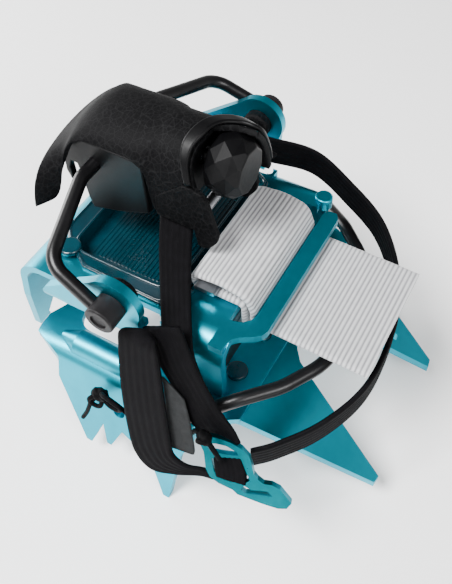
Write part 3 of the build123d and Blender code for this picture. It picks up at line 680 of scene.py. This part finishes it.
# ---- Heel lever ----
def shell_object(name, rows, thickness):
    count = len(rows[0])
    points = [Vector(p) for row in rows for p in row]
    faces = [(i * count + j, i * count + j + 1, (i + 1) * count + j + 1, (i + 1) * count + j)
             for i in range(len(rows) - 1) for j in range(count - 1)]
    obj = outward(mesh_object(name, points, faces))
    smooth = obj.modifiers.new("smooth", "SUBSURF")
    smooth.levels = smooth.render_levels = 2
    smooth.boundary_smooth = "PRESERVE_CORNERS"
    solid = obj.modifiers.new("thickness", "SOLIDIFY")
    solid.thickness = thickness * MM
    solid.offset = -1.0
    solid.use_even_offset = False
    edge = obj.modifiers.new("edges", "BEVEL")
    edge.width = 0.3 * MM
    edge.segments = 2
    edge.limit_method = "ANGLE"
    edge.angle_limit = math.radians(50)
    return obj


def both_halves(half):
    """Near half, from the near edge up to the middle, then the far half mirrored."""
    return [Vector(p) for p in half] + [Vector((x, -y, z)) for x, y, z in reversed(half[:-1])]


SHELL_ROWS = [
    [(-54.3, -24.2, 76.0), (-54.2, -23.0, 81.5), (-54.0, -20.2, 87.0), (-54.0, -12.0, 90.2),
     (-54.0, 0, 91.6)],
    [(-52.0, -21.2, 76.4), (-52.0, -20.4, 82.0), (-51.8, -18.4, 87.8), (-51.4, -11.6, 92.0),
     (-51.4, 0, 93.6)],
    [(-49.6, -17.8, 77.0), (-49.9, -17.7, 82.5), (-49.6, -17.0, 87.5), (-48.9, -11.0, 94.4),
     (-48.8, 0, 96.4)],
    [(-48.2, -15.4, 92.2), (-48.0, -14.6, 92.9), (-47.8, -13.2, 93.9), (-47.0, -8.8, 96.6), (-46.8, 0, 97.8)],
    [(-45.9, -13.2, 94.2), (-45.8, -12.5, 95.0), (-45.4, -11.0, 96.3), (-44.9, -6.6, 98.0), (-44.6, 0, 98.7)],
    [(-42.9, -12.4, 94.8), (-42.8, -11.8, 95.8), (-42.6, -10.2, 97.2), (-42.5, -6.2, 98.9), (-42.5, 0, 99.5)],
    [(-38.8, -12.1, 94.4), (-38.7, -11.6, 95.8), (-38.6, -9.9, 97.6), (-38.6, -6.0, 99.4), (-38.6, 0, 100.1)],
    [(-33.2, -12.1, 94.5), (-33.1, -11.6, 96.0), (-33.0, -9.8, 97.9), (-33.0, -5.8, 99.9), (-33.0, 0, 100.6)],
    [(-28.2, -12.1, 94.5), (-28.0, -11.6, 96.0), (-27.8, -9.7, 98.0), (-27.8, -5.8, 100.1),
     (-27.8, 0, 100.9)],
    [(-25.6, -12.1, 92.8), (-25.6, -11.8, 94.8), (-25.5, -9.9, 97.6), (-25.4, -6.0, 100.2),
     (-25.4, 0, 101.1)],
    [(-24.7, -12.1, 89.4), (-24.6, -12.0, 92.6), (-24.4, -10.4, 97.0), (-24.3, -6.2, 100.3),
     (-24.2, 0, 101.3)],
    [(-24.3, -11.8, 81.8), (-24.1, -12.0, 88.4), (-23.9, -11.0, 95.4), (-23.8, -6.8, 100.2),
     (-23.7, 0, 101.5)],
    [(-23.5, -11.2, 76.0), (-23.2, -11.8, 84.5), (-23.0, -11.2, 94.4), (-23.0, -7.0, 100.1),
     (-23.0, 0, 101.7)],
    [(-20.4, -11.1, 77.6), (-20.4, -11.6, 85.0), (-20.4, -11.0, 94.5), (-20.4, -7.0, 100.2),
     (-20.4, 0, 101.8)],
    [(-17.2, -11.0, 79.4), (-17.2, -11.5, 86.0), (-17.2, -10.9, 94.6), (-17.2, -7.0, 100.2),
     (-17.2, 0, 102.0)],
    [(-14.0, -11.0, 81.2), (-14.2, -11.4, 87.0), (-14.6, -10.8, 94.6), (-14.4, -7.0, 100.2),
     (-13.4, 0, 102.1)],
    [(-9.4, -11.0, 83.4), (-9.7, -11.3, 88.6), (-12.6, -10.3, 95.4), (-12.9, -6.6, 100.3),
     (-11.3, -0.2, 102.2)],
]
shell_rows = [both_halves(row) for row in SHELL_ROWS]
# The far side carries on past the scooped opening to the front edge.
VISOR_ROWS = [
    [(-13.5, 0.5, 102.0), (-13.5, 6.6, 100.6), (-13.3, 10.4, 95.4), (-13.0, 11.6, 88.6), (-12.5, 11.8, 84.0)],
    [(-10.6, 1.6, 102.1), (-10.4, 6.8, 100.4), (-10.2, 10.4, 95.2), (-10.0, 11.8, 88.8), (-10.0, 12.0, 84.0)],
    [(-8.2, 4.0, 101.5), (-7.6, 7.2, 99.8), (-7.2, 10.4, 94.8), (-7.0, 11.9, 88.8), (-7.0, 12.2, 84.0)],
    [(-5.4, 5.2, 101.1), (-4.8, 7.6, 99.0), (-4.4, 10.4, 94.2), (-4.2, 11.9, 88.6), (-4.2, 12.3, 84.2)],
    [(-1.6, 5.3, 101.0), (-1.2, 7.4, 98.2), (-1.2, 10.0, 93.2), (-1.2, 11.5, 88.4), (-1.2, 12.3, 84.4)],
]
RIM_EDGE = [(-11.6, -11.3, 92.6), (-12.9, -9.6, 97.0), (-13.1, -7.9, 99.4), (-12.9, -6.2, 100.9),
            (-12.0, -3.4, 102.1), (-11.2, -0.2, 102.7), (-9.5, 2.9, 102.3), (-6.6, 5.1, 101.6),
            (-2.7, 5.8, 101.4), (-1.2, 7.0, 99.6), (-1.1, 9.0, 95.6), (-1.1, 11.0, 91.0),
            (-1.1, 12.0, 87.0)]
RIM_BACK = [(-13.4, -11.5, 92.6), (-15.0, -9.9, 97.1), (-15.9, -8.0, 99.6), (-16.2, -5.6, 101.3),
            (-15.6, -2.0, 102.4), (-14.4, 1.6, 102.6), (-12.2, 5.6, 101.5), (-8.6, 8.0, 100.4),
            (-4.8, 9.0, 98.6), (-3.6, 10.0, 96.2), (-3.4, 11.0, 93.0), (-3.4, 12.0, 90.0),
            (-3.2, 12.5, 87.0)]
shell = shell_object("lever_cover", shell_rows, 1.2)
finish_piece(shell, "lever", "lever_black", ["lever_shell"])
visor = shell_object("lever_visor", VISOR_ROWS, 1.7)
finish_piece(visor, "lever", "lever_black")
rim = loft_strip("lever_opening_rim", curve_points(RIM_EDGE, 70), curve_points(RIM_BACK, 70), 1.2, 10,
                 lambda v: 0.0)
finish_piece(rim, "lever", "knob_black")


def plate(name, outline, y_near, y_far, bevel):
    """A flat piece drawn in XZ with rounded edges."""
    n = len(outline)
    near = [Vector((x, y_near, z)) for x, z in outline]
    far = [Vector((x, y_far, z)) for x, z in outline]
    faces = [tuple(range(n)), tuple(reversed(range(n, 2 * n)))]
    faces += [(i, (i + 1) % n, n + (i + 1) % n, n + i) for i in range(n)]
    obj = outward(mesh_object(name, near + far, faces, smooth=False))
    edge = obj.modifiers.new("edges", "BEVEL")
    edge.width = bevel * MM
    edge.segments = 3
    edge.limit_method = "ANGLE"
    return obj


def lever_bulkhead():
    """The wall behind the knob, with a hole that the screw runs through."""
    half = [(0.0, 100.7), (-3.4, 100.2), (-6.2, 98.8), (-8.6, 95.6), (-9.6, 92.0), (-9.9, 88.0), (-9.7, 84.0),
            (-4.8, 83.4)]
    outline = half + [(0.0, 83.4)] + [(-y, z) for y, z in reversed(half[1:])]
    n = len(outline)
    hole_radius, back, front = 2.5, -15.2, -13.9
    angles = [math.atan2(z - LEVER_AXIS_Z, y) for y, z in outline]
    points = []
    for x in (back, front):
        points += [(x, y, z) for y, z in outline]
        points += [(x, hole_radius * math.cos(a), LEVER_AXIS_Z + hole_radius * math.sin(a)) for a in angles]
    faces = []
    for k in range(n):
        m = (k + 1) % n
        faces += [(k, m, n + m, n + k), (2 * n + k, 3 * n + k, 3 * n + m, 2 * n + m),
                  (k, 2 * n + k, 2 * n + m, m), (n + k, n + m, 3 * n + m, 3 * n + k)]
    wall = outward(mesh_object("lever_bulkhead", points, faces, smooth=False))
    return finish_piece(wall, "lever", "knob_black")


lever_bulkhead()
LEG = [(-23.0, 84.0), (-23.2, 77.0), (-11.6, 76.6), (-10.9, 71.4), (-9.6, 70.6), (-7.4, 71.2),
       (-5.0, 74.6), (-4.4, 77.4), (-5.9, 82.7), (-7.3, 88.3), (-8.8, 90.4), (-11.6, 91.4), (-14.0, 91.4)]
SIDES = ((-1, "near"), (1, "far"))
for side, side_name in SIDES:
    leg = plate("lever_leg_" + side_name, LEG, side * 11.7, side * 10.0, 0.35)
    finish_piece(leg, "lever", "lever_black")

CHEEK = [(-51.4, 87.6), (-51.9, 81.0), (-50.8, 77.6), (-49.9, 78.0), (-50.0, 82.6), (-48.9, 85.2),
         (-47.3, 85.0), (-46.5, 80.0), (-46.0, 73.0), (-44.9, 69.4), (-36.0, 72.0), (-25.2, 76.4),
         (-25.4, 92.6), (-28.0, 94.4), (-36.0, 94.6), (-43.5, 94.6), (-47.8, 92.4), (-50.2, 89.6)]
for side, side_name in SIDES:
    cheek = plate("lever_cheek_" + side_name, CHEEK, side * 12.2, side * 10.0, 0.9)
    finish_piece(cheek, "lever", "knob_black", ["lever_cheeks"])


def knob():
    rings = [(-11.4, 6.0, 0.0), (-10.2, 7.5, 0.0), (-7.4, 8.5, 0.5), (-3.9, 8.3, 0.0), (-1.7, 6.9, 0.5),
             (-1.0, 6.3, 0.5)]
    sides, points, faces = 9, [], []
    for x, r, shift in rings:
        for k in range(sides):
            a = 2 * math.pi * (k + shift) / sides
            points.append(Vector((x, r * math.cos(a), LEVER_AXIS_Z + r * math.sin(a))))
    for i in range(len(rings) - 1):
        step = rings[i + 1][2] - rings[i][2]
        for k in range(sides):
            a, b = i * sides + k, i * sides + (k + 1) % sides
            c, d = (i + 1) * sides + k, (i + 1) * sides + (k + 1) % sides
            if step > 0:
                faces += [(a, b, c), (b, d, c)]
            elif step < 0:
                faces += [(a, b, d), (a, d, c)]
            else:
                faces += [(a, b, d, c)]
    faces.append(tuple(reversed(range(sides))))
    faces.append(tuple(range((len(rings) - 1) * sides, len(rings) * sides)))
    obj = outward(mesh_object("faceted_knob", points, faces, smooth=False))
    edge = obj.modifiers.new("edges", "BEVEL")
    edge.width = 0.25 * MM
    edge.segments = 2
    return finish_piece(obj, "knob", "knob_black", ["adjuster_knob"])


knob()

# ---- Raised lines on the moulded dish ----
def rounded_outline(corners, radius, z):
    """A closed smooth line with rounded corners at one height."""
    out = []
    n = len(corners)
    for i in range(n):
        a, b, c = (Vector((*corners[(i + k) % n], z)) for k in (-1, 0, 1))
        back, ahead = (a - b).normalized(), (c - b).normalized()
        for t in (0.0, 0.25, 0.5, 0.75, 1.0):
            out.append((b + back * radius).lerp(b, t).lerp(b.lerp(b + ahead * radius, t), t))
    return out


def dish_bead(name, corners, radius, z, diameter):
    bead = nurbs_tube(name, rounded_outline(corners, radius, z), diameter, cyclic=True)
    finish_piece(bead, "heel_unit", "dish_plastic")


dish_bead("dish_bead_inner", [(-46.4, -24.0), (-12.6, -24.0), (-12.6, 24.0), (-46.4, 24.0)], 6.0,
          HEEL_TOP + 1.4, 0.9)
dish_bead("dish_bead_outer", [(-51.2, -17.2), (-48.4, -20.8), (-39.0, -27.2), (-14.0, -27.8), (-9.3, -25.0),
                              (-9.3, 25.0), (-14.0, 27.8), (-39.0, 27.2), (-48.4, 20.8), (-51.2, 17.2)],
          1.6, HEEL_TOP + 1.3, 0.8)
# Low ribs on the dish's floor stand for the strap that shows through it.
DISH_RIBS, FIRST_RIB_X, RIB_END = 22, -42.0, 20.0
RIB_SECTION = ((-0.42, 58.9), (-0.2, 59.3), (0.2, 59.3), (0.42, 58.9))
rib_points, rib_faces = [], []
for k in range(DISH_RIBS):
    x = FIRST_RIB_X + RIB_PITCH * k
    base = len(rib_points)
    for y in (-RIB_END, RIB_END):
        rib_points += [(x + dx, y, z) for dx, z in RIB_SECTION]
    rib_faces += [(base + j, base + j + 1, base + j + 5, base + j + 4) for j in range(3)]
    rib_faces += [(base + 3, base, base + 4, base + 7), (base, base + 3, base + 2, base + 1),
                  (base + 4, base + 5, base + 6, base + 7)]
dish_ribs = outward(mesh_object("dish_floor_ribs", rib_points, rib_faces, smooth=False))
finish_piece(dish_ribs, "heel_unit", "dish_plastic")


# ---- Finishes on the pieces that come from the CAD ----
EDGE_BEVELS = {"front_frame": 0.3, "heel_frame": 0.3, "hook_buckle": 0.45, "heel_antiball_plate": 0.25,
               "front_antiball_plate": 0.25, "strap_clamp_plate": 0.2}
for node_name, obj in frame["nodes"].items():
    wanted = HOOK_FINISH if node_name == "hook_buckle" else MATERIALS[NODE_SLOTS[node_name]]
    for material_slot in obj.material_slots:
        material_slot.material = wanted
    if not obj.material_slots:
        obj.data.materials.append(wanted)
    if node_name in EDGE_BEVELS:
        edge = obj.modifiers.new("worn_edges", "BEVEL")
        edge.width = EDGE_BEVELS[node_name] * MM
        edge.segments = 2
        edge.limit_method = "ANGLE"
        edge.angle_limit = math.radians(50)
        edge.harden_normals = True
